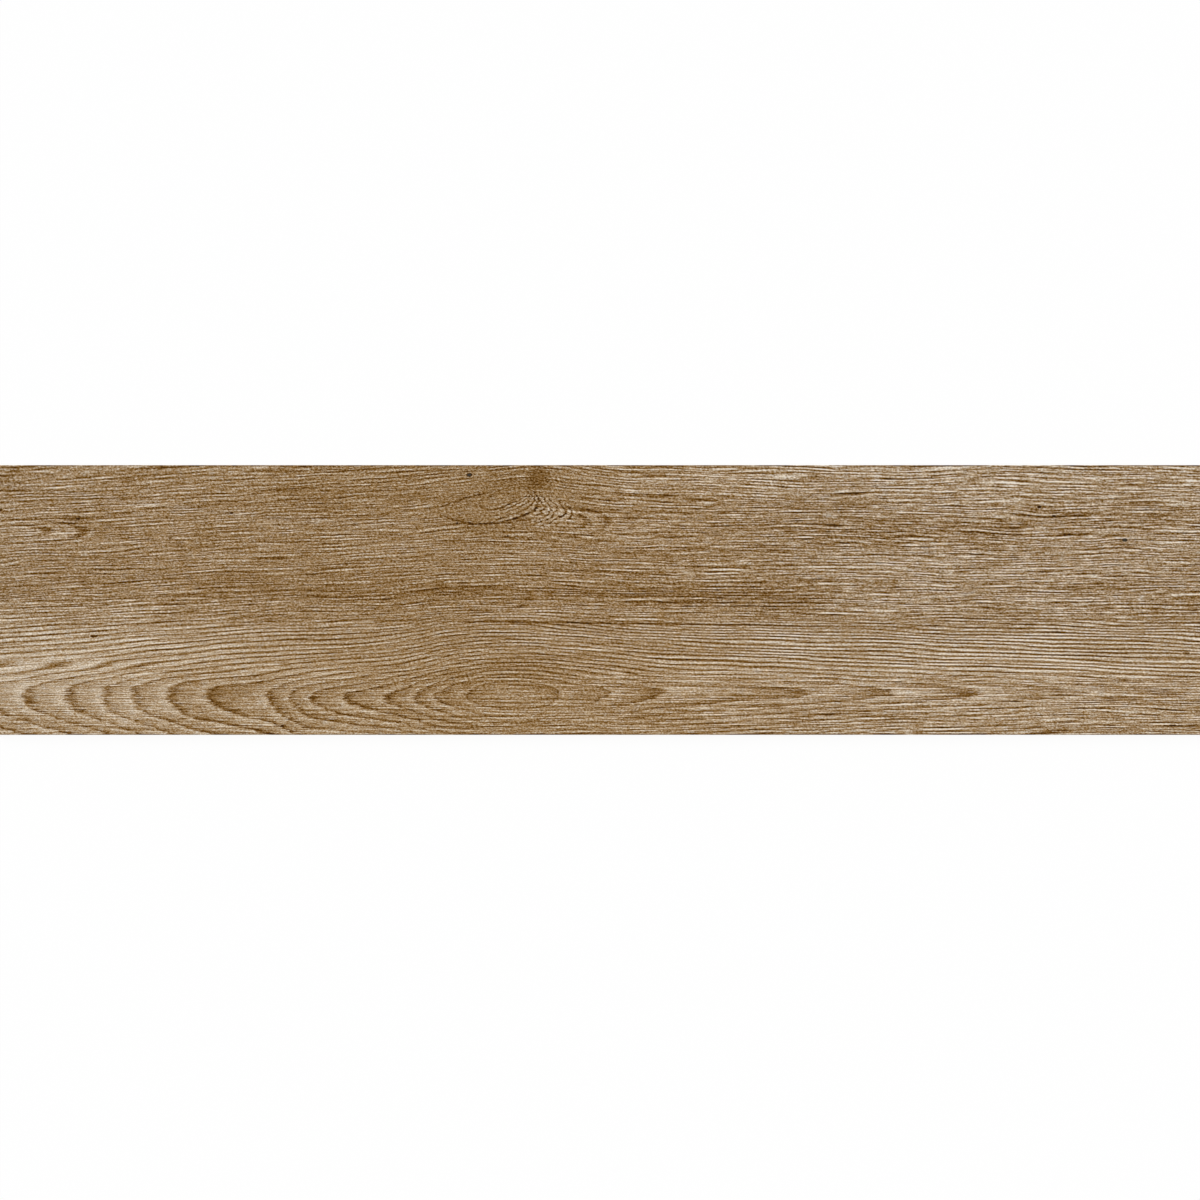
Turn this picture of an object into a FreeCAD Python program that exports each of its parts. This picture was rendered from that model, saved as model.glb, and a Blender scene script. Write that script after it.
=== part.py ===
import FreeCAD
import Part
import math
import os

# Wood-look porcelain plank tile.
# One slab of porcelain stoneware, pressed and fired in one piece and then ground
# square on its four sides. It lies on its back with the printed face up.
# Frame: +X along the length, +Y across the width, +Z out of the face.
# The origin is at the centre of the bedding plane, which is the tops of the back's ribs.
# All sizes are in millimetres.

# Driving dimensions of the slab
TILE_LENGTH = 900.0
TILE_WIDTH = 202.0
TILE_THICKNESS = 9.5       # from the bedding plane to the face
FACE_BEVEL = 0.6           # micro-bevel that the grinding line leaves round the face
BACK_BEVEL = 0.9           # arris taken off round the back

# Driving dimensions of the keyed back, where the adhesive grips
EDGE_BAND = 9.0            # plain band between the sides and the keyed field
KEY_SPACING = 30.5         # wanted distance from one rib to the next
RIB_WIDTH = 4.0            # flat top of a rib
RIB_HEIGHT = 0.7           # how far the ribs stand out of the cells
RIB_FLANK_ANGLE = 40.0     # lean of a rib's flanks, in degrees, so that the punch lets go
CELL_CORNER_CUT = 2.5      # corners of a cell cut off, measured along each flank

# How far a cutter reaches past the surface that it opens
CUTTER_OVERRUN = 0.5

# How near two heights are when they count as the same
SAME_HEIGHT = 1e-6


def slab():
    """The plain slab with both arrises taken off."""
    block = Part.makeBox(
        TILE_LENGTH,
        TILE_WIDTH,
        TILE_THICKNESS,
        FreeCAD.Vector(-TILE_LENGTH / 2, -TILE_WIDTH / 2, 0),
    )
    bevelled = block.makeChamfer(FACE_BEVEL, edges_at_height(block, TILE_THICKNESS))
    return bevelled.makeChamfer(BACK_BEVEL, edges_at_height(bevelled, 0))


def edges_at_height(shape, height):
    """The edges that lie in the level plane at that height."""
    return [
        edge
        for edge in shape.Edges
        if all(math.isclose(v.Z, height, abs_tol=SAME_HEIGHT) for v in edge.Vertexes)
    ]


def cells_along(field):
    """How many cells fit along a stretch of the keyed field, and the width of each mouth.

    A row is cells with a rib between each two, and it ends on a cell at both ends."""
    count = max(1, round((field + RIB_WIDTH) / KEY_SPACING))
    mouth = (field + RIB_WIDTH) / count - RIB_WIDTH
    return count, mouth


def cell_cutter(mouth_length, mouth_width):
    """The space of one cell, mouth down: a flat pyramid with its slanting edges cut off."""
    lean = math.tan(math.radians(RIB_FLANK_ANGLE))
    spread = CUTTER_OVERRUN * lean
    taper = RIB_HEIGHT * lean
    low_x = mouth_length / 2 + spread
    low_y = mouth_width / 2 + spread
    high_x = mouth_length / 2 - taper
    high_y = mouth_width / 2 - taper
    # A wedge tapers along its own Y, so it is made on its side and then stood up.
    wedge = Part.makeWedge(
        -low_x, -CUTTER_OVERRUN, -low_y, -high_y, -high_x,
        low_x, RIB_HEIGHT, low_y, high_y, high_x,
    )
    wedge.rotate(FreeCAD.Vector(0, 0, 0), FreeCAD.Vector(1, 0, 0), 90)
    slanting = [
        edge
        for edge in wedge.Edges
        if abs(edge.Vertexes[0].Z - edge.Vertexes[1].Z) > RIB_HEIGHT / 2
    ]
    return wedge.makeChamfer(CELL_CORNER_CUT, slanting)


def keyed_field():
    """Every cell of the back, laid out evenly inside the plain edge band."""
    count_x, mouth_x = cells_along(TILE_LENGTH - 2 * EDGE_BAND)
    count_y, mouth_y = cells_along(TILE_WIDTH - 2 * EDGE_BAND)
    pitch_x = mouth_x + RIB_WIDTH
    pitch_y = mouth_y + RIB_WIDTH
    cutter = cell_cutter(mouth_x, mouth_y)
    cells = []
    for column in range(count_x):
        for row in range(count_y):
            place = FreeCAD.Vector(
                (column - (count_x - 1) / 2) * pitch_x,
                (row - (count_y - 1) / 2) * pitch_y,
                0,
            )
            cells.append(cutter.translated(place))
    print(f"back: {count_x} by {count_y} cells, mouths {mouth_x:.2f} by {mouth_y:.2f} mm")
    return Part.makeCompound(cells)


def plank_tile():
    """The whole tile: the slab with its back keyed."""
    return slab().cut(keyed_field()).Solids[0]


tile = plank_tile()
os.makedirs("parts", exist_ok=True)
tile.exportStep("parts/plank_tile.step")
box = tile.optimalBoundingBox()
print(f"plank_tile: {box.XLength:.2f} x {box.YLength:.2f} x {box.ZLength:.2f} mm,", end=" ")
print(f"{tile.Volume / 1000:.1f} cm3, {len(tile.Faces)} faces, valid {tile.isValid()}")
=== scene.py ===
# %% [markdown]
# A wood look porcelain plank tile.
# The real tile is one slab of porcelain: clay powder is pressed hard, printed with an oak
# picture, glazed, fired, and then ground square on its four sides. The CAD model holds the
# slab and its ribbed back. This lesson dresses it: it models the slab again with the fine
# relief of the face, paints the oak print and the bare clay with nodes, and lights it as in
# a plain studio photograph taken from straight above.

# %% Load the frame
import math
import bmesh
import bpy
from mathutils import Color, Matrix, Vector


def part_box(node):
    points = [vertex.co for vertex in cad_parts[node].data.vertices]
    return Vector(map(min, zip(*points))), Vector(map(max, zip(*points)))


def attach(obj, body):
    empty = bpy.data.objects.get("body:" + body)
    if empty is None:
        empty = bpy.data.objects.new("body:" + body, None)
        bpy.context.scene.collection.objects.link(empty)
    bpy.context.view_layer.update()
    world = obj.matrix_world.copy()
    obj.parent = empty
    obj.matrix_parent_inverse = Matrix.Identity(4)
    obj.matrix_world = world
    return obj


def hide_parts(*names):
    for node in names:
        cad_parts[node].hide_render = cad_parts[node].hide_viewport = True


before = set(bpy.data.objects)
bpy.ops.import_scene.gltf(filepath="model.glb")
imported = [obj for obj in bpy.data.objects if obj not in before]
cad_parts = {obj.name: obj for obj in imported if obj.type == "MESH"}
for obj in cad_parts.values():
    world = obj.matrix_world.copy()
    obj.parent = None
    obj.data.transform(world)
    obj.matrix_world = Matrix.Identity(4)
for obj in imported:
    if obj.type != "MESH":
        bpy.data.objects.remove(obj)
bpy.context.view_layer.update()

MM = 0.001
low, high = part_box("plank_tile")
LENGTH, WIDTH, THICKNESS = high - low
print(f"CAD slab: {LENGTH / MM:.1f} x {WIDTH / MM:.1f} x {THICKNESS / MM:.2f} mm")

# %% [markdown]
# The slab.
# A tile starts as a plain brick of pressed clay, so a cube is a good start here too. Two
# bevels then take off the edges: a fine one round the face, which the grinding line leaves,
# and a wider one round the back, where the punch releases the clay. A Bevel modifier could
# do it, but the two edges differ, so each is bevelled by hand in edit mode.

# %% Helpers that pick edges and faces by their place
NEAR = 0.01 * MM


def same(a, b):
    return abs(a - b) < NEAR


def pick_edges(wanted):
    """Selects the edges of the mesh in edit mode for which wanted(end, other_end) is true."""
    mesh = bmesh.from_edit_mesh(bpy.context.object.data)
    bpy.ops.mesh.select_all(action="DESELECT")
    for edge in mesh.edges:
        if wanted(edge.verts[0].co, edge.verts[1].co):
            edge.select_set(True)
    bmesh.update_edit_mesh(bpy.context.object.data)


def pick_faces(wanted):
    """Selects the faces for which wanted(centre, normal) is true, and counts them."""
    mesh = bmesh.from_edit_mesh(bpy.context.object.data)
    bpy.ops.mesh.select_all(action="DESELECT")
    for face in mesh.faces:
        if wanted(face.calc_center_median(), face.normal):
            face.select_set(True)
    bmesh.update_edit_mesh(bpy.context.object.data)
    return sum(face.select for face in mesh.faces)


print("helpers: same, pick_edges, pick_faces")

# %% Cube, then both bevels
FACE_BEVEL = 0.6 * MM
BACK_BEVEL = 0.9 * MM
bpy.ops.object.select_all(action="DESELECT")
bpy.ops.mesh.primitive_cube_add(size=1, location=(low + high) / 2, scale=high - low)
tile = bpy.context.object
tile.name = "plank_tile_printed"
bpy.ops.object.transform_apply(location=True, rotation=True, scale=True)
bpy.ops.object.mode_set(mode="EDIT")
bpy.ops.mesh.select_mode(type="EDGE")
pick_edges(lambda a, b: same(a.z, THICKNESS) and same(b.z, THICKNESS))
bpy.ops.mesh.bevel(offset=FACE_BEVEL, segments=1, affect="EDGES")
pick_edges(lambda a, b: same(a.z, 0) and same(b.z, 0))
bpy.ops.mesh.bevel(offset=BACK_BEVEL, segments=1, affect="EDGES")
bpy.ops.object.mode_set(mode="OBJECT")
print("slab:", len(tile.data.polygons), "faces")

# %% [markdown]
# The keyed back.
# The punch that presses the back stamps shallow square cells into it, and the ribs left
# between them key into the tile adhesive. On the model the back is inset to leave the plain
# edge band and cut into a chequer of squares. Each square is inset flat, for half a rib, its
# corners are rounded, and it is inset again with depth, for the sloping flank. Copies of one
# cell would do too, but insetting keeps the whole tile one closed skin.

# %% Cells stamped into the back
EDGE_BAND = 9 * MM
RIB_WIDTH = 4 * MM
RIB_HEIGHT = 0.7 * MM
FLANK_LEAN = math.radians(40)
CELL_CORNER = 2.5 * MM
CELLS_LONG, CELLS_WIDE = 29, 6
FACING_DOWN = -0.9
field_x = LENGTH / 2 - EDGE_BAND + RIB_WIDTH / 2
field_y = WIDTH / 2 - EDGE_BAND + RIB_WIDTH / 2
bpy.ops.object.mode_set(mode="EDIT")
pick_faces(lambda centre, normal: normal.z < FACING_DOWN)
bpy.ops.mesh.inset(thickness=EDGE_BAND - RIB_WIDTH / 2 - BACK_BEVEL, use_even_offset=True)
pick_edges(lambda a, b: same(a.z, 0) and same(a.y, b.y) and same(abs(a.y), field_y))
bpy.ops.mesh.subdivide(number_cuts=CELLS_LONG - 1)
pick_edges(lambda a, b: same(a.z, 0) and same(b.z, 0) and same(a.x, b.x) and abs(a.y) > field_y - NEAR
           and abs(b.y) > field_y - NEAR and abs(a.x) < field_x + NEAR and a.y * b.y < 0)
bpy.ops.mesh.subdivide(number_cuts=CELLS_WIDE - 1)
cells = pick_faces(
    lambda centre, normal: normal.z < FACING_DOWN and abs(centre.x) < field_x and abs(centre.y) < field_y
)
bpy.ops.mesh.inset(thickness=RIB_WIDTH / 2, use_individual=True)
bpy.ops.mesh.bevel(offset=CELL_CORNER, segments=3, affect="VERTICES")
print("back:", cells, "cells")

# %% Sink the cells
MIDDLE = 0.02


def is_cell(centre, normal):
    """A cell's mouth lies in the middle of its square, and the slivers left by rounding don't."""
    column = (centre.x + field_x) / (2 * field_x) * CELLS_LONG % 1
    row = (centre.y + field_y) / (2 * field_y) * CELLS_WIDE % 1
    level = normal.z < FACING_DOWN and same(centre.z, 0)
    return level and abs(column - 0.5) < MIDDLE and abs(row - 0.5) < MIDDLE


cells = pick_faces(is_cell)
bpy.ops.mesh.inset(thickness=RIB_HEIGHT * math.tan(FLANK_LEAN), depth=-RIB_HEIGHT, use_individual=True)
bpy.ops.object.mode_set(mode="OBJECT")
print("sunk:", cells, "cells,", len(tile.data.polygons), "faces so far")

# %% [markdown]
# A fine net on the face.
# The face will carry the relief of oak grain, which is long and narrow, so its net is long and
# narrow too: 5 mm along the grain and about half a millimetre across it. Subdividing the edges
# that run one way and then those that run the other way lets the two differ, which a plain
# Subdivide of the face would not. The bevel is cut along with the face, so that it can follow.

# %% Cut the net
NET_LONG = (89, 1)
NET_WIDE = (59, 5)
ABOVE_BEVEL = THICKNESS - FACE_BEVEL - NEAR
bpy.ops.object.mode_set(mode="EDIT")
for cuts in NET_LONG:
    pick_edges(lambda a, b: min(a.z, b.z) > ABOVE_BEVEL and same(a.y, b.y) and same(a.z, b.z))
    bpy.ops.mesh.subdivide(number_cuts=cuts)
for cuts in NET_WIDE:
    pick_edges(lambda a, b: min(a.z, b.z) > ABOVE_BEVEL and same(a.x, b.x) and same(a.z, b.z))
    bpy.ops.mesh.subdivide(number_cuts=cuts)
bpy.ops.object.mode_set(mode="OBJECT")
print("net:", len(tile.data.polygons), "faces in all")

# %% [markdown]
# Formulas as nodes.
# The print and the relief come from the same oak board, so they have to agree: a dark ring
# line is also a groove. Drawing both from one formula does that. A Wire is one number on its
# way through a node tree, and arithmetic with Wires adds the Math nodes, so a formula reads as
# it would on paper. Shader trees and geometry trees share these nodes, and the same recipe can
# build both.

# %% Wires
class Wire:
    """One number, or vector, on its way through a node tree."""

    def __init__(self, socket):
        self.socket = socket
        self.tree = socket.id_data

    def math(self, operation, *others):
        node = self.tree.nodes.new("ShaderNodeMath")
        node.operation = operation
        for term, entry in zip((self, *others), node.inputs):
            plug(term, entry)
        return Wire(node.outputs[0])

    def __add__(self, other):
        return self.math("ADD", other)

    def __sub__(self, other):
        return self.math("SUBTRACT", other)

    def __rsub__(self, other):
        return self * -1.0 + other

    def __mul__(self, other):
        return self.math("MULTIPLY", other)

    def __truediv__(self, other):
        return self.math("DIVIDE", other)

    def rise(self, start, end):
        """Goes smoothly from 0 at start to 1 at end, and stays there."""
        node = self.tree.nodes.new("ShaderNodeMapRange")
        node.interpolation_type = "SMOOTHSTEP"
        for term, entry in zip((self, start, end, 0.0, 1.0), node.inputs):
            plug(term, entry)
        return Wire(node.outputs[0])

    def least(self, other):
        return self.math("MINIMUM", other)

    def most(self, other):
        return self.math("MAXIMUM", other)


def plug(term, entry):
    """Feeds a node's entry with a Wire, or sets it to a plain number or colour."""
    if isinstance(term, Wire):
        term.tree.links.new(term.socket, entry)
    else:
        entry.default_value = term


def mix(share, one, other):
    """One where share, a Wire, is 0 and the other where it is 1."""
    return share * (other - one) + one


print("helpers: Wire, plug, mix")

# %% Places
def joined(x, y):
    """Two Wires as one place on the face."""
    node = x.tree.nodes.new("ShaderNodeCombineXYZ")
    plug(x, node.inputs[0])
    plug(y, node.inputs[1])
    return Wire(node.outputs[0])


def axes(place):
    """A place as three Wires, x, y and z."""
    node = place.tree.nodes.new("ShaderNodeSeparateXYZ")
    plug(place, node.inputs[0])
    return [Wire(socket) for socket in node.outputs]


def scaled(place, factor, shift):
    """A place stretched and then moved, each axis by its own amount."""
    node = place.tree.nodes.new("ShaderNodeVectorMath")
    node.operation = "MULTIPLY_ADD"
    for term, entry in zip((place, factor, shift), node.inputs):
        plug(term, entry)
    return Wire(node.outputs["Vector"])


print("helpers: joined, axes, scaled")

# %% Noise and curves
SEED_STEP = (7.3, 3.1)
FINER_SHARE = 0.6
BOARD_REACH = 450.0


def streaks(place, length, width, seed, octaves=1):
    """Noise drawn out along the grain, about -1 to 1. Length and width, in mm, are its mesh."""
    noise = place.tree.nodes.new("ShaderNodeTexNoise")
    noise.noise_dimensions = "2D"
    noise.inputs["Scale"].default_value = 1.0
    noise.inputs["Detail"].default_value = octaves - 1
    noise.inputs["Roughness"].default_value = FINER_SHARE
    shift = (seed * SEED_STEP[0], seed * SEED_STEP[1], 0)
    plug(scaled(place, (1 / length, 1 / width, 1), shift), noise.inputs["Vector"])
    return Wire(noise.outputs[0]) * 2.0 - 1.0


def drawn(x, points, reach=BOARD_REACH):
    """A smooth curve through points: pairs of a place, within the reach, and a height."""
    node = x.tree.nodes.new("ShaderNodeFloatCurve")
    lowest = min(height for _, height in points)
    span = max(height for _, height in points) - lowest
    node.mapping.extend = "HORIZONTAL"
    curve = node.mapping.curves[0]
    while len(curve.points) < len(points):
        curve.points.new(0.5, 0.5)
    for knob, (at, height) in zip(curve.points, points):
        knob.location = ((at + reach) / (2 * reach), (height - lowest) / span)
        knob.handle_type = "AUTO_CLAMPED"
    node.mapping.update()
    plug((x + reach) / (2 * reach), node.inputs["Value"])
    return Wire(node.outputs[0]) * span + lowest


print("helpers: streaks, drawn")

# %% Spots, lines and waves
def spot(place, centre, reach):
    """A soft round or long patch: 1 at its centre, fading to 0 past its reach, in mm."""
    away = scaled(place, (1 / reach[0], 1 / reach[1], 0), (-centre[0] / reach[0], -centre[1] / reach[1], 0))
    square = place.tree.nodes.new("ShaderNodeVectorMath")
    square.operation = "DOT_PRODUCT"
    plug(away, square.inputs[0])
    plug(away, square.inputs[1])
    return (Wire(square.outputs["Value"]) * -1.0).math("EXPONENT")


def line_at(value, middle, width):
    """A soft line where the value passes the middle."""
    off = (value - middle) / width
    return (off * off * -1.0).math("EXPONENT")


def wave(count):
    """Swings between 1 on each whole number and -1 halfway to the next."""
    return (count * (2 * math.pi)).math("COSINE")


def crests(count, foot, level):
    """Lines on the whole numbers: the part of the wave above its foot, less an even level."""
    return wave(count).rise(foot, 1.0) - level


def summed(wires):
    total = wires[0]
    for wire in wires[1:]:
        total = total + wire
    return total


print("helpers: spot, line_at, wave, crests, summed")

# %% [markdown]
# The oak board in the print.
# The printed board was sawn just off the heart of a log. Along its lower third the saw ran
# nearly level with the growth rings, which show as a long eye with nested arches left of it
# and spear tips right of it. Higher up the rings stand steep and show as fine parallel lines.
# One height field describes that strip: its level lines are the rings. Along the spine of the
# arches a curve says how many rings have been crossed since the eye, and away from the spine
# the count grows with the distance. Stock wood textures make rings too, but not with an eye
# where it is wanted. A second, small eye near the far edge is drawn line by line. All places
# here are in millimetres from the middle of the face.

# %% Flow of the grain
SPINE = -69.5
SIDE_REACH = 175.0
GRAIN_LIFT = [
    (-450, -23), (-375, -18.5), (-300, -13.5), (-225, -9), (-150, -4.5), (-75, 0), (0, -2.5), (75, -4),
    (225, -6), (450, -8),
]
LIFT_UP_THE_BOARD = [(-35, -0.2), (-12, 0), (0, 0.4), (25, 1), (60, 0.7), (90, 0.75), (130, 0.75), (175, 0.4)]
PUSHES = [((-47, 100), (42, 24), 8.0), ((333, 64), (16, 8), -2.5), ((393, 40), (18, 8), 2.0)]
CALM_RIPPLE = 0.3
SWAY, RIPPLE, TREMBLE = 1.6, 0.5, 0.13
FIBRE_LEAN = 0.4


def grain_flow(x, y):
    """How far the fibres have bent away from level at that place."""
    place = joined(x, y)
    lift = drawn(x, GRAIN_LIFT) * drawn(y - SPINE, LIFT_UP_THE_BOARD, SIDE_REACH)
    return lift + summed([spot(place, centre, reach) * push for centre, reach, push in PUSHES])


def fibre_place(x, y):
    """The place on the straightened board: along the fibre, and across it."""
    place = joined(x, y)
    wavy = mix((y - SPINE).rise(45.0, 75.0), CALM_RIPPLE, 1.0)
    ripple = streaks(place, 26, 18, 2) * RIPPLE + streaks(place, 9, 12, 5) * TREMBLE
    level = y - grain_flow(x, y) + streaks(place, 140, 30, 1) * SWAY + ripple * wavy
    return joined(x + level * FIBRE_LEAN, level)


print("grain:", len(GRAIN_LIFT), "points along the board and", len(PUSHES), "places where it bends")

# %% Rings: arches, eye and spears
SPINE_LINE = [(-450, -73.5), (-250, -72.5), (-62, -71.3), (60, -69.5), (450, -69)]
RINGS_ALONG_SPINE = [
    (-450, 14.6), (-431, 14), (-401, 13), (-374, 12), (-351, 11), (-324, 10), (-294, 9), (-250, 8), (-232, 7),
    (-217, 6), (-192, 5), (-162, 4), (-140, 3), (-123, 2), (-102, 1), (-62, 0), (-28.5, 1), (8, 2), (52, 3),
    (156, 4), (220, 5), (290, 6), (365, 7), (450, 8.2),
]
RINGS_LEFT_ABOVE = [
    (-35, 1), (0, 1), (14, 0.97), (28, 0.8), (45, 0.58), (60, 0.47), (90, 0.38), (175, 0.35),
]
BLUNT = [(-450, 5.5), (-260, 4.5), (-200, 1), (-62, 0), (450, 0)]
ROUNDING = [(-450, 5), (-200, 5), (-130, 6.5), (-62, 9), (60, 7.5), (450, 7)]
RINGS_PER_MM_OVER = [(-450, 0.42), (-300, 0.42), (-200, 0.41), (-62, 0.42), (60, 0.47), (450, 0.5)]
RINGS_PER_MM_UNDER = [
    (-450, 0.18), (-260, 0.18), (-200, 0.23), (-130, 0.3), (-62, 0.4), (60, 0.36), (200, 0.42), (450, 0.44),
]
SPINE_SWAY = 1.2
RING_TREMBLE = 0.08
RING_SWAY_LOW, RING_SWAY_HIGH, RING_SWAY_RIGHT = 0.12, 0.45, 0.22


def rings(x, y):
    """Ring count: 0 in the middle of the eye, and one more at each ring line outwards."""
    place = joined(x, y)
    above = y - drawn(x, SPINE_LINE) + streaks(place, 60, 14, 3) * SPINE_SWAY
    rounding = drawn(x, ROUNDING)
    over = (above - drawn(x, BLUNT)).most(0.0) * drawn(x, RINGS_PER_MM_OVER)
    under = above.least(0.0) * drawn(x, RINGS_PER_MM_UNDER)
    climb = (over * over + under * under + rounding * rounding).math("SQRT") - rounding
    higher = above.rise(6.0, 24.0)
    wander = streaks(place, 24, 8, 15) * RING_TREMBLE
    wander = wander + streaks(place, 130, 11, 4) * mix(higher, RING_SWAY_LOW, RING_SWAY_HIGH)
    wander = wander + streaks(place, 170, 5, 36) * higher * x.rise(-60.0, 90.0) * RING_SWAY_RIGHT
    return drawn(x, RINGS_ALONG_SPINE) * drawn(above, RINGS_LEFT_ABOVE, SIDE_REACH) + climb + wander


print("rings:", len(RINGS_ALONG_SPINE), "points along the spine of the arches")

# %% The small eye: arcs and oval
KNOT_TAIL = (-50.6, 82.8)
EYE_CORNER = (-123.7, 67.5)
EYE_FLATNESS = 2.3
ARC_STEP = 0.2
RIM_BELOW, RIM_ABOVE, RIM_WIDTH = 1.6, 0.45, 0.05
RIM_SHADE, UPPER_RIM_SHADE, ARC_SHADE = 0.85, 1.25, 1.1
OVAL_CENTRE, OVAL_REACH, OVAL_TILT, OVAL_WIDTH = (-77.5, 73.8), (12.8, 5.6), 0.2, 0.11


def eye_arcs(x, y):
    """Arcs that fan out of the knot's tail and swing round to the eye's left corner, with a rim."""
    tail_x = x - KNOT_TAIL[0]
    tail_y = (y - KNOT_TAIL[1]) * EYE_FLATNESS
    corner_x = x - EYE_CORNER[0]
    corner_y = (y - EYE_CORNER[1]) * EYE_FLATNESS
    cross = tail_y * corner_x - tail_x * corner_y
    turn = cross.math("ARCTAN2", tail_x * corner_x + tail_y * corner_y)
    out = math.pi - turn.math("ABSOLUTE")
    below = turn.rise(0.0, -0.2)
    rim = line_at(out, RIM_BELOW, RIM_WIDTH) * below
    upper_rim = line_at(out, RIM_ABOVE, RIM_WIDTH) * (1.0 - below) * x.rise(-72.0, -100.0)
    arcs = crests(out / ARC_STEP, -0.1, 0.25) * out.rise(0.5, 0.7) * out.rise(1.62, 1.5)
    arcs = arcs * below * x.rise(-92.0, -70.0)
    return rim * RIM_SHADE + upper_rim * UPPER_RIM_SHADE + arcs * ARC_SHADE


def inner_oval(x, y):
    """The outline of the tilted oval inside the arcs."""
    away = (x - OVAL_CENTRE[0]) / OVAL_REACH[0]
    up = (y - OVAL_CENTRE[1] - (x - OVAL_CENTRE[0]) * OVAL_TILT) / OVAL_REACH[1]
    return line_at((away * away + up * up).math("SQRT"), 1.0, OVAL_WIDTH)


print("small eye: from", EYE_CORNER, "to", KNOT_TAIL)

# %% The small eye: arcs beside it, and all its lines together
NEST_STEP = 5.2
NEST_HEIGHT, NEST_FALL = 60.5, 0.24
NEST_LEAN_UP, NEST_LEAN_DOWN, NEST_CURVE = 0.9, 0.25, 0.06
NEST_RAGGED = 1.2
KNOT_SIDE_FALL = 0.39
NEST_SHADE, OVAL_SHADE = 1.32, 0.6
EYE_CENTRE, EYE_REACH = (-72, 73), (58, 19)
DASH_PULL, WOBBLE_ALONG, WOBBLE_ACROSS, ARC_PULL = 1.6, 1.4, 0.8, 0.6
BREAKS, UNBROKEN, FAINTEST = 0.8, 0.85, 0.1


def nested_arcs(x, y, ragged):
    """Arcs right of the eye, one in the other, with their tips on a line that falls to the right."""
    up = y - NEST_HEIGHT + x * NEST_FALL
    down = (up * -1.0).most(0.0)
    count = x + ragged * NEST_RAGGED + up.most(0.0) * NEST_LEAN_UP
    count = count + down * (down * NEST_CURVE + NEST_LEAN_DOWN)
    under_knot = (y + x * KNOT_SIDE_FALL).rise(63.5, 61.0)
    zone = count.rise(-51.0, -46.0) * count.rise(-13.0, -20.0) * under_knot * y.rise(51.0, 60.0)
    return crests(count / NEST_STEP, 0.0, 0.29) * zone


def small_eye(x, y, dashes):
    """All lines of the small eye, broken here and there, and the zone where they lie."""
    place = joined(x, y)
    ragged = dashes * DASH_PULL + streaks(place, 9, 5, 17) * WOBBLE_ALONG
    ragged_y = y + streaks(place, 16, 6, 18) * WOBBLE_ACROSS
    zone = spot(place, EYE_CENTRE, EYE_REACH).rise(0.2, 0.6)
    broken = (streaks(place, 13, 3.5, 19) * BREAKS + UNBROKEN).most(FAINTEST)
    lines = eye_arcs(x + ragged * ARC_PULL, ragged_y) + inner_oval(x + ragged, ragged_y) * OVAL_SHADE
    return (lines + nested_arcs(x, ragged_y, ragged) * NEST_SHADE) * broken, zone


print("small eye: nested arcs every", NEST_STEP, "mm")

# %% Rings of the knot, and little tips
KNOT = (-46.5, 92.2)
KNOT_RING = 2.8
KNOT_RAGGED, TIP_RAGGED = 1.5, 2.0
LITTLE_TIPS = [((-440, 51.5), (27, 4.4), 0.19), ((-24, 58.5), (15, 5.5), 0.12)]
EYE_LINE_SHADE, KNOT_RING_SHADE = 0.25, 0.04


def knot_rings(x, y, dashes):
    """Fine rings round the knot itself, fading outwards."""
    away_x = x - KNOT[0] + dashes * KNOT_RAGGED
    away_y = y - KNOT[1]
    away = (away_x * away_x + away_y * away_y).math("SQRT")
    return wave(away / KNOT_RING) * away.rise(4.0, 8.0) * away.rise(20.0, 10.0)


def little_tips(x, y, centre, reach, dashes):
    """The right ends of two narrow ovals, one in the other."""
    away = (x - centre[0] + dashes * TIP_RAGGED) / reach[0]
    up = (y - centre[1]) / reach[1]
    size = (away * away + up * up).math("SQRT")
    outline = crests(size, 0.1, 0.25) * size.rise(0.3, 0.7)
    return outline * size.rise(2.6, 1.9) * away.rise(-0.6, 0.3)


def eye_marks(x, y, dashes):
    """How much darker the small eye, its knot and the little tips make a place, and the eye's zone."""
    lines, zone = small_eye(x, y, dashes)
    tips = [little_tips(x, y, centre, reach, dashes) * shade for centre, reach, shade in LITTLE_TIPS]
    return lines * EYE_LINE_SHADE + summed(tips) + knot_rings(x, y, dashes) * KNOT_RING_SHADE, zone


print("knot: at", KNOT, "and", len(LITTLE_TIPS), "pairs of little tips")
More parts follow.
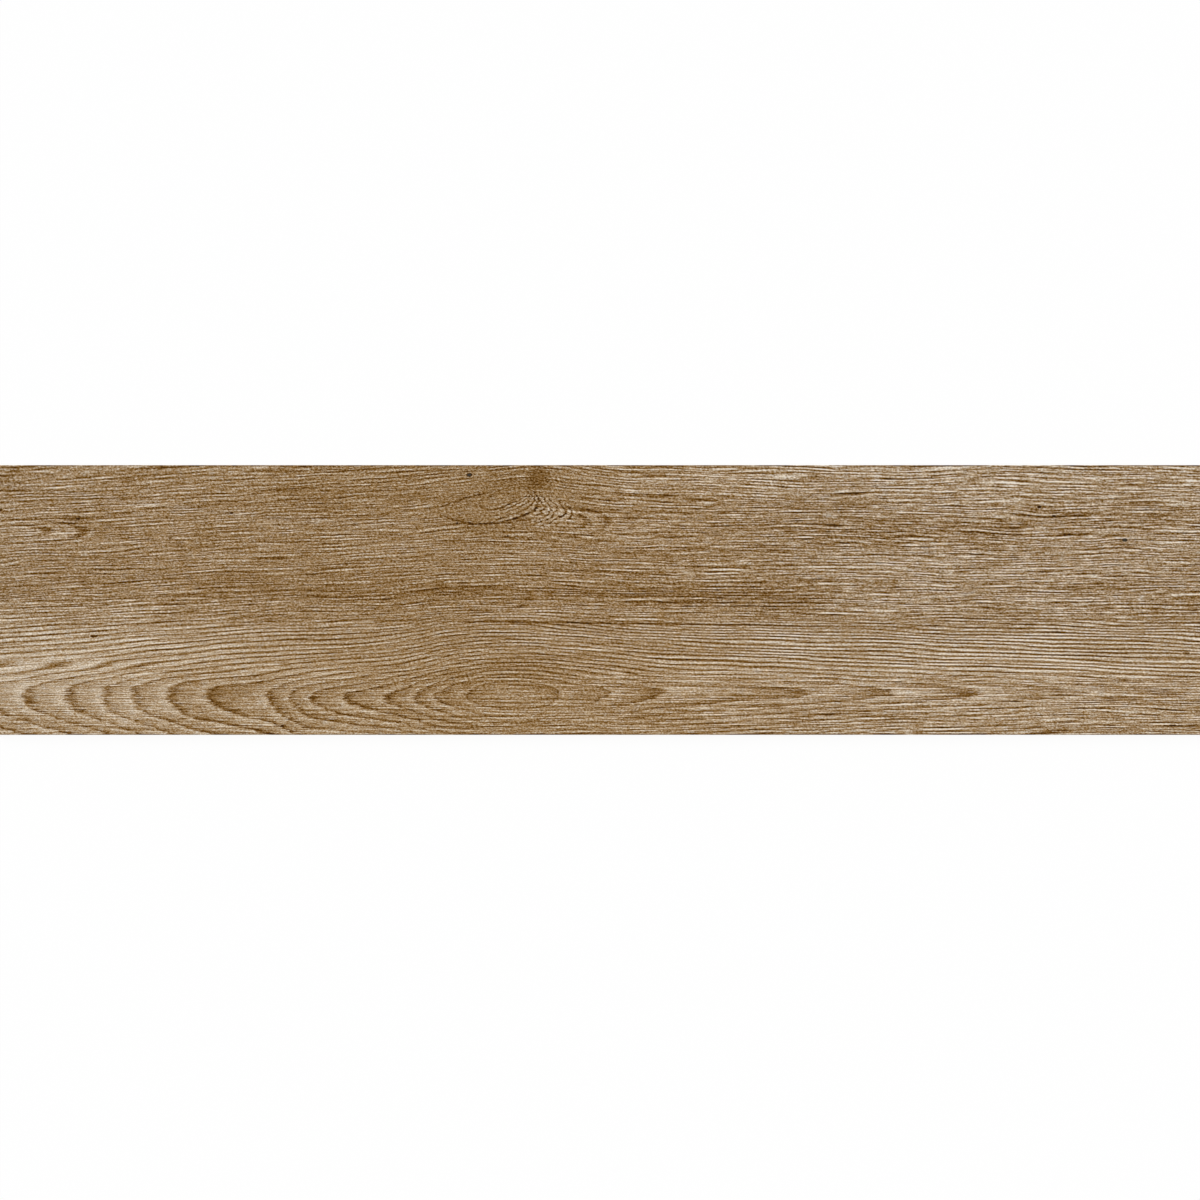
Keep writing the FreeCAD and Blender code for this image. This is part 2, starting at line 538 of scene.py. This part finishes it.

# %% [markdown]
# The tone of the print.
# Everything that the printer laid down is first gathered into one tone, from 0 for the darkest
# pore to 1 for the palest fleck, and only then turned into colour. It is the sum of slow clouds,
# pin knots, ring lines and fibres, less a painted shade along the two long edges of the face.
# The ring lines are broken up by short level dashes, because the pores of oak run along the
# board whichever way a ring crosses it.

# %% Clouds and knots
CLOUDS = [
    ((-40, 4), (230, 9), -0.055), ((-130, 4), (60, 8), -0.03), ((120, 8), (50, 12), -0.045),
    ((228, 56), (90, 6), -0.05), ((-170, 80), (210, 34), -0.045), ((300, 22), (190, 32), 0.06),
    ((230, 90), (190, 14), 0.06), ((-400, -60), (120, 38), 0.085), ((300, -55), (230, 30), 0.035),
    ((-52, 92), (34, 11), -0.065), ((-50, 83), (7, 5), -0.07), ((-72, 90), (14, 8), -0.04),
    ((-70, -58), (120, 36), -0.06), ((-430, -20), (60, 20), 0.03), ((393, 45), (12, 5), -0.06),
    ((332, 68), (16, 7), -0.04), ((-270, -86), (130, 15), -0.035), ((-270, -62), (130, 14), -0.028),
    ((70, -36), (70, 10), -0.025), ((270, -36), (70, 10), -0.025), ((90, 61), (110, 9), -0.035),
    ((40, 37), (45, 9), 0.03), ((-110, 96), (50, 8), -0.025), ((-262, 12), (45, 12), -0.015),
    ((-185, 2), (45, 14), 0.04), ((40, -14), (50, 10), 0.03), ((187, 34), (45, 10), 0.03),
    ((-415, 88), (45, 12), 0.03), ((415, 90), (45, 10), 0.03), ((35, -76), (40, 14), -0.03),
    ((-37, -36), (40, 11), 0.035), ((412, -62), (40, 12), -0.035), ((-345, -64), (60, 12), -0.025),
]
PIN_KNOTS = [
    ((-98, 93.7), (3.2, 2.4), 0.21), ((-449, 67.5), (2.4, 1.6), 0.24), ((-391, 60.7), (2.4, 1.3), 0.18),
    ((-276, 65.2), (2.2, 1.2), 0.24), ((-322, 46.5), (2.4, 0.9), 0.24), ((-379, -27), (4.0, 1.7), 0.20),
    ((-107, 57.7), (1.2, 0.9), 0.34), ((-69, 48), (1.2, 0.9), 0.32), ((329, 69.7), (2.2, 1.6), 0.26),
    ((340, 63), (2.2, 1.2), 0.22), ((393, 45), (3.0, 2.0), 0.24), ((439, -39.7), (4.0, 1.4), 0.20),
    ((429, -93.7), (4.0, 1.4), 0.20),
]
PIN_CORE, PIN_RIM, PIN_RING = 1.1, 0.4, 0.7


def clouds(place):
    """Soft lighter and darker patches, each with its centre, its reach and its strength."""
    return summed([spot(place, centre, reach) * strength for centre, reach, strength in CLOUDS])


def knots(place):
    """Pin knots: a dark core, a paler ring round it, and a soft brown rim."""
    marks = []
    for centre, reach, strength in PIN_KNOTS:
        patch = spot(place, centre, reach)
        ring = patch.rise(0.3, 0.4) * patch.rise(0.65, 0.5)
        dark = patch.rise(0.5, 0.75) * PIN_CORE + patch.rise(0.0, 0.3) * PIN_RIM
        marks.append((dark - ring * PIN_RING) * strength)
    return summed(marks)


print("clouds:", len(CLOUDS), "and pin knots:", len(PIN_KNOTS))

# %% The section of a ring
EDGE_START = [
    (-450, 0.64), (-200, 0.64), (-120, 0.76), (-90, 0.84), (-20, 0.87), (20, 0.65), (60, 0.5), (450, 0.5),
]
EDGE_DARK, EDGE_HAZE, EDGE_LIGHT, EDGE_LEVEL = 0.95, 0.12, 0.45, 0.1
LINE_SHIFT = 0.06
LINES_LEFT, LINES_RIGHT = 0.46, 0.62
FINE_LINES_LEFT, FINE_LINES_RIGHT = 0.22, 0.06


def ring_edge(count, start):
    """A ring darkens up to its edge, mostly from start on, and the next ring begins light."""
    part = count.math("FRACT")
    dark = (part.rise(start, 0.93) * EDGE_DARK + part.rise(0.35, 0.9) * EDGE_HAZE) * part.rise(1.0, 0.92)
    light = part.rise(0.42, 0.08)
    return dark - light * EDGE_LIGHT - EDGE_LEVEL


def ring_lines(count, right):
    """Where the rings stand steep, each is an even line with a finer one between."""
    lines = wave(count + LINE_SHIFT) * mix(right, LINES_LEFT, LINES_RIGHT)
    return lines + wave(count * 2.0 + LINE_SHIFT) * mix(right, FINE_LINES_LEFT, FINE_LINES_RIGHT)


print("ring section: dark from", EDGE_START[0][1], "of a ring on, at the left end")

# %% Ring marks
MARKS_ALONG = [(-450, 0.31), (-200, 0.31), (-60, 0.33), (100, 0.34), (250, 0.37), (450, 0.38)]
MARKS_AT_SPINE = [
    (-450, 0.66), (-200, 0.7), (-130, 0.72), (-100, 0.55), (-40, 0.5), (10, 0.38), (60, 0.47), (290, 0.42),
    (350, 0.25), (450, 0.22),
]
STEADY_EYE, STEADINESS = ((-62, SPINE), (75, 30)), 0.8
FAINT_ROOF, FAINTNESS = ((-55, -46), (85, 12)), 0.3
EVEN_ARCHES, EVEN_FADING = ((-95, SPINE), (55, 20)), 0.9
FADING_LEFT, FADING_RIGHT = 0.65, 0.38
FADING_MIDDLE, FADING_LEAST, FADING_MOST = 0.92, 0.15, 1.35
RAGGED_LINES, RAGGED_TIPS, TORN_TIPS = 2.4, 4.0, 3.5
INNERMOST = 0.02
TOP_LINE = [(-450, -8), (-128, -15.7), (0, -17.2), (142, -19.5), (450, -26)]
TOP_LINE_SPOT, TOP_LINE_WIDTH, TOP_LINE_SHADE = ((10, -17), (150, 20)), 0.75, 0.3


def ring_marks(x, y, fibre, dashes):
    """How much darker the rings make a place, and how strongly they show there."""
    place = joined(x, y)
    above = y - SPINE
    right = x.rise(-50.0, 150.0)
    loose = above.rise(13.0, 4.0) * (1.0 - spot(place, *STEADY_EYE) * STEADINESS)
    ragged = dashes * mix(loose, RAGGED_LINES, RAGGED_TIPS) + streaks(fibre, 16, 1.9, 33) * loose * TORN_TIPS
    count = rings(x + ragged, y).most(INNERMOST)
    show = mix(above.rise(8.0, 18.0), drawn(x, MARKS_AT_SPINE), 1.0) * above.rise(66.0, 44.0)
    show = show * (1.0 - spot(place, *FAINT_ROOF) * FAINTNESS)
    fading = streaks(fibre, 130, 3.6, 6) * mix(right, FADING_LEFT, FADING_RIGHT) + FADING_MIDDLE
    fading = mix(spot(place, *EVEN_ARCHES), fading.most(FADING_LEAST).least(FADING_MOST), EVEN_FADING)
    close = above.rise(9.0, 19.0) + above.rise(-8.0, -20.0) * x.rise(-190.0, -90.0)
    profile = mix(close, ring_edge(count, drawn(x, EDGE_START)), ring_lines(count, right))
    top_line = line_at(y, drawn(x, TOP_LINE), TOP_LINE_WIDTH) * spot(place, *TOP_LINE_SPOT)
    return profile * fading * drawn(x, MARKS_ALONG) * show + top_line * TOP_LINE_SHADE, show


print("ring marks: strongest", max(height for _, height in MARKS_ALONG), "of the tone")

# %% Fibres and grit
COARSE_STEP, CLOSE_STEP = 2.75, 2.15
COARSE_SWAY, GATE, CLOSE_SHARE = 0.9, 0.45, 1.2
LINE_SHADE, DASH_SHADE = 0.178, 0.17
BOLD_SHADE, BROAD_SHADE, BIT_SHADE = 0.06, 0.048, 0.05
BOLD_UPPER_LEFT, BOLD_UPPER_RIGHT = 0.78, 0.42
GRIT_SHADE, DUST_SHADE, DUST_TURN = 0.19, 0.18, 0.6


def fibre_marks(fibre):
    """Fine light and dark lines, both ways from 0: two sets of lines that come and go."""
    across = axes(fibre)[1]
    coarse = wave(across / COARSE_STEP + streaks(fibre, 90, 8, 8) * COARSE_SWAY)
    close = wave(across / CLOSE_STEP + streaks(fibre, 70, 7, 9))
    gate = (streaks(fibre, 40, COARSE_STEP, 10) + GATE).most(0.0)
    other = (streaks(fibre, 24, CLOSE_STEP, 14) + GATE).most(0.0)
    return coarse * gate + close * other * CLOSE_SHARE


def strokes(x, y, fibre, dashes):
    """Fibres of every width: fine lines, short dashes, and bold ones that fade up the board."""
    upper = y.rise(-25.0, 0.0)
    bold = streaks(fibre, 45, 2.2, 12) * BOLD_SHADE + streaks(fibre, 50, 4.5, 21) * BROAD_SHADE
    bold = bold * mix(upper, 1.0, mix(x.rise(-20.0, 120.0), BOLD_UPPER_LEFT, BOLD_UPPER_RIGHT))
    bold = bold + streaks(fibre, 4, 1.3, 24) * upper * x.rise(120.0, 260.0) * BIT_SHADE
    return fibre_marks(fibre) * LINE_SHADE + dashes * DASH_SHADE + bold


def grit(x, y, fibre):
    """The finest dots of the print: some drawn along the fibre and some round."""
    turned = joined(x + y * DUST_TURN, y - x * DUST_TURN)
    return streaks(fibre, 1.9, 0.95, 16) * GRIT_SHADE + streaks(turned, 0.95, 0.95, 13) * DUST_SHADE


print("fibres: lines every", COARSE_STEP, "and", CLOSE_STEP, "mm")

# %% Long dark lines, and a pale one
LONG_LINES = [(9.5, (-150, 120)), (6.5, (-20, 110)), (13.5, (-300, 90)), (55.5, (235, 60)), (1.5, (110, 70))]
LONG_LINE_WIDTH = 0.8
PALE_LINE = [(-450, 62.5), (-380, 65), (-315, 73.5), (-225, 77), (450, 78)]
PALE_LINE_WIDTH, PALE_LINE_SHADOW, PALE_LINE_SHADE = 0.7, -2.2, 0.1


def long_lines(fibre):
    """A few long dark fibres, each at its place across the board and along it."""
    along, across = axes(fibre)[:2]
    lines = []
    for place, (middle, reach) in LONG_LINES:
        lines.append(line_at(across, place, LONG_LINE_WIDTH) * line_at(along, middle, reach))
    return summed(lines)


def pale_line(x, y):
    """One pale fibre that bends up near the left end, with a dark one under it."""
    off = y - drawn(x, PALE_LINE)
    lines = line_at(off, 0.0, PALE_LINE_WIDTH) - line_at(off, PALE_LINE_SHADOW, PALE_LINE_WIDTH)
    return lines * x.rise(-200.0, -260.0) * PALE_LINE_SHADE


print("long lines:", len(LONG_LINES))

# %% All marks together
CONTRAST_ALONG = [(-450, 1), (-225, 0.9), (-60, 0.9), (75, 1), (225, 1.14), (450, 1.18)]
TONE_UP_THE_BOARD = [
    (-101, -0.01), (-69, 0.005), (-30, -0.005), (-8, -0.04), (20, -0.045), (60, -0.03), (101, -0.01),
]
HALF_WIDTH = 101.0
KNOT_REACH = (8.2, 7.4)
QUIET_LEFT, QUIET_RINGS, QUIET_EYE, QUIET_KNOT, QUIET_GRIT = 0.84, 0.52, 0.4, 0.3, 0.8
# The last of these is painted shade: how much the print darkens along the two long edges, where the face
# turns down into its bevel.
KNOT_SHADE, LONG_LINE_SHADE, DRIFT_SHADE, BEVEL_PAINTED_SHADE = 0.085, 0.09, 0.065, 0.08
MIDDLE_TONE = 0.515


def print_tone(x, y):
    """Tone of the print, with painted shade along its long edges: 0 is the darkest pore and 1 the palest
    fleck.
    """
    place = joined(x, y)
    fibre = fibre_place(x, y)
    dashes = streaks(fibre, 9, 0.85, 11)
    marks, lined = ring_marks(x, y, fibre, dashes)
    small_marks, eye_zone = eye_marks(x, y, dashes)
    core = spot(place, KNOT, KNOT_REACH).rise(0.2, 0.65)
    quiet = mix(x.rise(80.0, -120.0) * (y - SPINE).rise(62.0, 80.0), 1.0, QUIET_LEFT)
    calm = mix(lined, 1.0, QUIET_RINGS) * quiet * mix(eye_zone, 1.0, QUIET_EYE) * mix(core, 1.0, QUIET_KNOT)
    fibres = strokes(x, y, fibre, dashes) * calm * drawn(x, CONTRAST_ALONG)
    fibres = fibres + grit(x, y, fibre) * mix(lined, 1.0, QUIET_GRIT)
    drift = clouds(place) + pale_line(x, y) + streaks(place, 120, 22, 7, octaves=2) * DRIFT_SHADE
    # The last term is painted shade: it darkens the print in a thin band along the two long edges and on
    # their bevels.
    level = drawn(y, TONE_UP_THE_BOARD, HALF_WIDTH) - y.math("ABSOLUTE").rise(99.9, 100.5) * BEVEL_PAINTED_SHADE
    dark = marks + small_marks + core * KNOT_SHADE + knots(place) + long_lines(fibre) * LONG_LINE_SHADE
    return drift + level + fibres - dark + MIDDLE_TONE


print("tone: even at", MIDDLE_TONE)

# %% [markdown]
# Printed glaze.
# The print is a matt glaze. The tone runs through two colour ramps from pore brown to fleck
# cream, one warm and one greyer, and fine streaks choose between them, as the droplets of
# two inks do. Two of the pin knots are slate grey. The pores are a touch rougher, and a fine
# bump breaks the sheen. The face has hardly any gloss, so the specular level is low.

# %% Oak colours
SCREEN_WHITE = 255


def paint(red, green, blue):
    """A screen colour, 0 to 255, as Blender's linear colour."""
    screen = Color((red / SCREEN_WHITE, green / SCREEN_WHITE, blue / SCREEN_WHITE))
    return (*screen.from_srgb_to_scene_linear(), 1)


WARM_OAK = [
    (0.06, paint(46, 22, 0)), (0.23, paint(87, 51, 0)), (0.345, paint(118, 82, 29)),
    (0.51, paint(159, 128, 87)), (0.653, paint(191, 168, 138)), (0.84, paint(235, 220, 197)),
]
GREY_OAK = [
    (0.06, paint(44, 32, 18)), (0.23, paint(83, 51, 7)), (0.345, paint(111, 83, 43)),
    (0.51, paint(150, 131, 107)), (0.653, paint(181, 170, 155)), (0.84, paint(226, 221, 214)),
]
COLOUR_ONE, COLOUR_OTHER, COLOUR_OUT = 6, 7, 2


def ramp(tone, stops):
    """Turns a tone into colour through a row of stops."""
    node = tone.tree.nodes.new("ShaderNodeValToRGB")
    elements = node.color_ramp.elements
    while len(elements) < len(stops):
        elements.new(1.0)
    for element, (at, colour) in zip(elements, stops):
        element.position = at
        element.color = colour
    plug(tone, node.inputs[0])
    return Wire(node.outputs[0])


def blended(share, one, other):
    """Two colours mixed by a share."""
    node = share.tree.nodes.new("ShaderNodeMix")
    node.data_type = "RGBA"
    plug(share, node.inputs["Factor"])
    plug(one, node.inputs[COLOUR_ONE])
    plug(other, node.inputs[COLOUR_OTHER])
    return Wire(node.outputs[COLOUR_OUT])


print("oak colours:", len(WARM_OAK), "warm and", len(GREY_OAK), "grey")

# %% Helpers for a material
def new_material(name):
    material = bpy.data.materials.new(name)
    material.use_nodes = True
    return material, material.node_tree, material.node_tree.nodes["Principled BSDF"]


def in_mm(place):
    """A place in metres as Wires x, y and z in millimetres."""
    return axes(scaled(place, (1 / MM, 1 / MM, 1 / MM), (0, 0, 0)))


def object_place(tree):
    """Object coordinates in millimetres, as Wires x, y and z."""
    return in_mm(Wire(tree.nodes.new("ShaderNodeTexCoord").outputs["Object"]))


def bumped(height, strength, distance):
    """A normal that leans as the height rises and falls."""
    node = height.tree.nodes.new("ShaderNodeBump")
    node.inputs["Strength"].default_value = strength
    node.inputs["Distance"].default_value = distance
    plug(height, node.inputs["Height"])
    return Wire(node.outputs[0])


print("helpers: new_material, in_mm, object_place, bumped")

# %% The glaze
GREY_ALONG = [(-450, 0.36), (-300, 0.27), (-60, 0.23), (90, 0.28), (190, 0.39), (450, 0.39)]
GREY_LOST_BELOW, GREY_STREAKS = 0.11, 0.5
SLATE, SLATE_SHARE = paint(62, 64, 58), 0.65
SLATE_KNOTS = [(-98, 93.7), (393, 45)]
SLATE_REACH = (2.2, 1.7)
PORE_ROUGHNESS, FLECK_ROUGHNESS = 0.7, 0.6
BUMP_DEPTH = 0.1 * MM
GLAZE_BUMP = 0.2
GLAZE_GLOSS = 0.06
glaze, tree, skin = new_material("printed_oak_glaze")
x, y = object_place(tree)[:2]
place = joined(x, y)
tone = print_tone(x, y)
grey = drawn(x, GREY_ALONG) - y.rise(-20.0, -60.0) * GREY_LOST_BELOW
share = (streaks(place, 6, 1.1, 23) * GREY_STREAKS + grey).most(0.0).least(1.0)
oak = blended(share, ramp(tone, WARM_OAK), ramp(tone, GREY_OAK))
slate = summed([spot(place, centre, SLATE_REACH).rise(0.4, 0.8) for centre in SLATE_KNOTS])
plug(blended(slate * SLATE_SHARE, oak, SLATE), skin.inputs["Base Color"])
plug(mix(tone.rise(0.25, 0.7), PORE_ROUGHNESS, FLECK_ROUGHNESS), skin.inputs["Roughness"])
plug(bumped(streaks(place, 2.2, 0.8, 41), GLAZE_BUMP, BUMP_DEPTH), skin.inputs["Normal"])
skin.inputs["Specular IOR Level"].default_value = GLAZE_GLOSS
print("glaze:", len(tree.nodes), "nodes")

# %% [markdown]
# Bare porcelain.
# The glaze stops at the upper edge. The sides are ground and show the pale clay body with fine
# specks and the scratches of the wheel, and just under the print a paler line, the white slip
# that the print lies on. The back keeps the skin of the press, and the tops of its ribs carry a
# thin pale wash that keeps the tile from sticking to the rollers of the kiln, worn in places.
# One material does all three, because height alone tells them apart: ribs at the bottom, cells a
# little higher, sides above.

# %% Clay
CLAY = [
    (0.15, paint(146, 134, 116)), (0.45, paint(184, 172, 154)), (0.7, paint(203, 193, 177)),
    (0.95, paint(228, 223, 213)),
]
SPECK_TURN = 0.7
SLIP_LOW, SLIP_HIGH = 1.15, 0.95
SPECK_SHADE, CLOUD_SHADE, SCRATCH_SHADE, WASH_SHADE, SLIP_SHADE = 0.2, 0.12, 0.2, 0.3, 0.3
MIDDLE_CLAY = 0.48
CLAY_ROUGHNESS, WASH_ROUGHNESS = 0.72, 0.92
CLAY_BUMP = 0.25
CLAY_GLOSS = 0.25
clay, tree, skin = new_material("bare_porcelain")
x, y, z = object_place(tree)
slab_height = THICKNESS / MM
speck = streaks(joined(x + z * SPECK_TURN, y + z), 0.7, 0.7, 51, octaves=2)
cloudy = streaks(joined(x, y + z), 40, 25, 52, octaves=2)
worn = streaks(joined(x, y), 22, 9, 53, octaves=3).rise(-0.35, 0.25)
wash = z.rise(0.15, 0.03) * worn
side = z.rise(0.8, 1.0)
scratches = streaks(joined(x + y, z), 9, 0.22, 54, octaves=2) * side
slip = z.rise(slab_height - SLIP_LOW, slab_height - SLIP_HIGH)
shade = speck * SPECK_SHADE + cloudy * CLOUD_SHADE + scratches * SCRATCH_SHADE
shade = shade + wash * WASH_SHADE + slip * SLIP_SHADE + MIDDLE_CLAY
plug(ramp(shade, CLAY), skin.inputs["Base Color"])
plug(mix(wash, CLAY_ROUGHNESS, WASH_ROUGHNESS), skin.inputs["Roughness"])
plug(bumped(speck + scratches, CLAY_BUMP, BUMP_DEPTH), skin.inputs["Normal"])
skin.inputs["Specular IOR Level"].default_value = CLAY_GLOSS
print("clay:", len(tree.nodes), "nodes")

# %% Glaze on the face and its bevel, clay elsewhere
FACE_LEAN = 0.4
tile.data.materials.append(glaze)
tile.data.materials.append(clay)
bpy.ops.object.mode_set(mode="EDIT")
bpy.ops.mesh.select_mode(type="FACE")
print("clay:", pick_faces(lambda centre, normal: normal.z < FACE_LEAN), "faces")
tile.active_material_index = 1
bpy.ops.object.material_slot_assign()
bpy.ops.object.mode_set(mode="OBJECT")

# %% [markdown]
# Relief.
# The upper punch of the press has the oak's pores and rings engraved the other way round, so
# the face is not flat: ring lines and pores are shallow grooves. A Displace modifier would need
# an image or a stock texture, while geometry nodes can run the ring formula of the print. The
# pores are drawn anew along the same fibres, as wide as the net can hold. The modifier is
# applied, so the grooves end up in the mesh.

# %% Depth of the grooves
GROOVE = 0.16 * MM
DEEPEST = 1.6
RING_GROOVE = 3.0
SHORT_PORES, LONG_PORES = 0.4, 0.6
relief = bpy.data.node_groups.new("pressed_oak_relief", "GeometryNodeTree")
where = relief.nodes.new("GeometryNodeInputPosition")
x, y, z = in_mm(Wire(where.outputs[0]))
fibre = fibre_place(x, y)
short = streaks(fibre, 14, 2.4, 31)
long = streaks(fibre, 40, 2.8, 32, octaves=2)
marks, _ = ring_marks(x, y, fibre, short)
small_marks, _ = eye_marks(x, y, short)
pores = (short * SHORT_PORES + long * LONG_PORES).rise(-0.1, 0.6)
grooves = marks.most(0.0) * RING_GROOVE + small_marks.most(0.0) * RING_GROOVE + pores
depth = grooves.least(DEEPEST) * GROOVE
print(f"grooves: at most {DEEPEST * GROOVE / MM:.3f} mm deep")

# %% Press the relief into the face
TOP_ONLY = slab_height - 0.05
SMOOTH_BELOW = math.radians(35)
relief.interface.new_socket("Geometry", in_out="INPUT", socket_type="NodeSocketGeometry")
relief.interface.new_socket("Geometry", in_out="OUTPUT", socket_type="NodeSocketGeometry")
entry = relief.nodes.new("NodeGroupInput")
leave = relief.nodes.new("NodeGroupOutput")
sink = relief.nodes.new("ShaderNodeCombineXYZ")
plug(depth * -1.0, sink.inputs[2])
move = relief.nodes.new("GeometryNodeSetPosition")
relief.links.new(entry.outputs[0], move.inputs["Geometry"])
plug(z.math("GREATER_THAN", TOP_ONLY), move.inputs["Selection"])
relief.links.new(sink.outputs[0], move.inputs["Offset"])
relief.links.new(move.outputs[0], leave.inputs[0])
press = tile.modifiers.new("relief", "NODES")
press.node_group = relief
bpy.ops.object.modifier_apply(modifier=press.name)
bpy.ops.object.shade_smooth_by_angle(angle=SMOOTH_BELOW)
heights = [vertex.co.z / MM for vertex in tile.data.vertices if vertex.co.z > ABOVE_BEVEL + FACE_BEVEL / 2]
print(f"relief: face between {min(heights):.3f} and {max(heights):.3f} mm")

# %% [markdown]
# A flat map of the skin.
# A tile is printed flat, and its skin unfolds to a flat picture just as simply: the face over
# most of it, the back above, and the four sides as thin strips. Smart UV Project would choose
# the pieces and their places itself, so the map is written here from each point's own place.

# %% Unfold
FACE_ROWS = (0.0, 0.83)
BACK_ROWS = (0.84, 0.95)
NEAR_ROWS = (0.957, 0.968)
FAR_ROWS = (0.974, 0.985)
END_ROWS = (0.99, 1.0)
END_SHARE, RIGHT_END, LEFT_END = 0.49, 0.51, 0.0
unfolded = tile.data.uv_layers.new(name="OFBake")


def unfold(point, normal):
    """The spot on the flat map for a point of the skin."""
    along = (point.x - low.x) / LENGTH
    across = (point.y - low.y) / WIDTH
    up = (point.z - low.z) / THICKNESS
    if normal.z > FACE_LEAN:
        rows, u, v = FACE_ROWS, along, across
    elif normal.z < -FACE_LEAN:
        rows, u, v = BACK_ROWS, along, across
    elif abs(normal.y) > abs(normal.x):
        rows, u, v = (FAR_ROWS if normal.y > 0 else NEAR_ROWS), along, up
    else:
        rows, u, v = END_ROWS, across * END_SHARE + (RIGHT_END if normal.x > 0 else LEFT_END), up
    return u, rows[0] + v * (rows[1] - rows[0])


for face in tile.data.polygons:
    for corner in face.loop_indices:
        vertex = tile.data.vertices[tile.data.loops[corner].vertex_index]
        unfolded.data[corner].uv = unfold(vertex.co, face.normal)
print("flat map:", len(unfolded.data), "corners")

# %% Ride on the frame
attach(tile, "root")
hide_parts("plank_tile")
tile.data.calc_loop_triangles()
print("tile:", len(tile.data.loop_triangles), "triangles")

# %% [markdown]
# Studio.
# The tile lies face up on white paper, and the camera looks straight down on its middle through
# a long lens. Most of the paper's white is its own glow, so that it photographs white without
# extra light on the tile, and the tile's shadow on it is faint. Seen from below the paper is
# clear, so that the back can be looked at too.

# %% Floor
FLOOR_SIZE = 12
FLOOR_GAP = 0.2 * MM
GLOW_SHARE = 0.93
PAPER_WHITE = (0.95, 0.95, 0.95, 1)
PAPER_ROUGHNESS = 0.9
bpy.ops.object.select_all(action="DESELECT")
bpy.ops.mesh.primitive_plane_add(size=FLOOR_SIZE, location=(0, 0, -FLOOR_GAP))
floor = bpy.context.object
floor.name = "studio_floor"
paper, tree, skin = new_material("white_paper")
skin.inputs["Base Color"].default_value = PAPER_WHITE
skin.inputs["Roughness"].default_value = PAPER_ROUGHNESS
skin.inputs["Specular IOR Level"].default_value = 0.0
glow = tree.nodes.new("ShaderNodeEmission")
clear = tree.nodes.new("ShaderNodeBsdfTransparent")
which_side = tree.nodes.new("ShaderNodeNewGeometry")
lit = tree.nodes.new("ShaderNodeMixShader")
lit.inputs[0].default_value = GLOW_SHARE
one_sided = tree.nodes.new("ShaderNodeMixShader")
tree.links.new(skin.outputs[0], lit.inputs[1])
tree.links.new(glow.outputs[0], lit.inputs[2])
tree.links.new(which_side.outputs["Backfacing"], one_sided.inputs[0])
tree.links.new(lit.outputs[0], one_sided.inputs[1])
tree.links.new(clear.outputs[0], one_sided.inputs[2])
tree.links.new(one_sided.outputs[0], tree.nodes["Material Output"].inputs["Surface"])
floor.data.materials.append(paper)
floor.visible_glossy = False
floor.visible_transmission = False
floor.visible_shadow = False
print("floor:", floor.name)

# %% Light
SKY_LIGHT = 0.48
SKY_SEEN = 1.0
SEEN_BY = ("Is Camera Ray", "Is Glossy Ray", "Is Transmission Ray")
KEY_SHARE, KEY_SLANT = 0.5, 0.82
KEY_LIGHT = KEY_SHARE * math.pi / KEY_SLANT
KEY_PLACE = (-1, 1.5, 3)
KEY_TILT = (math.radians(-28), math.radians(-22), 0)
KEY_WIDTH = math.radians(50)
world = bpy.data.worlds.new("studio")
bpy.context.scene.world = world
world.use_nodes = True
sky = world.node_tree.nodes["Background"]
sky.inputs["Color"].default_value = (1, 1, 1, 1)
path = world.node_tree.nodes.new("ShaderNodeLightPath")
seen = summed([Wire(path.outputs[kind]) for kind in SEEN_BY]).least(1.0)
plug(mix(seen, SKY_LIGHT, SKY_SEEN), sky.inputs["Strength"])
bpy.ops.object.light_add(type="SUN", location=KEY_PLACE)
key = bpy.context.object
key.name = "softbox"
key.data.angle = KEY_WIDTH
key.rotation_euler = KEY_TILT
key.data.energy = KEY_LIGHT
print(f"light: {key.name}, energy {KEY_LIGHT:.2f}")

# %% Camera
LENS = 200.0
SENSOR = 36.0
FAR_CLIP = 50
FRAMED = LENGTH - 2 * FACE_BEVEL
bpy.ops.object.camera_add(location=(0, 0, THICKNESS + FRAMED * LENS / SENSOR), rotation=(0, 0, 0))
camera = bpy.context.object
camera.data.lens = LENS
camera.data.sensor_width = SENSOR
camera.data.clip_end = FAR_CLIP
bpy.context.scene.camera = camera
bpy.context.scene.view_settings.view_transform = "Standard"
print(f"camera: {camera.location.z:.2f} m above the floor")
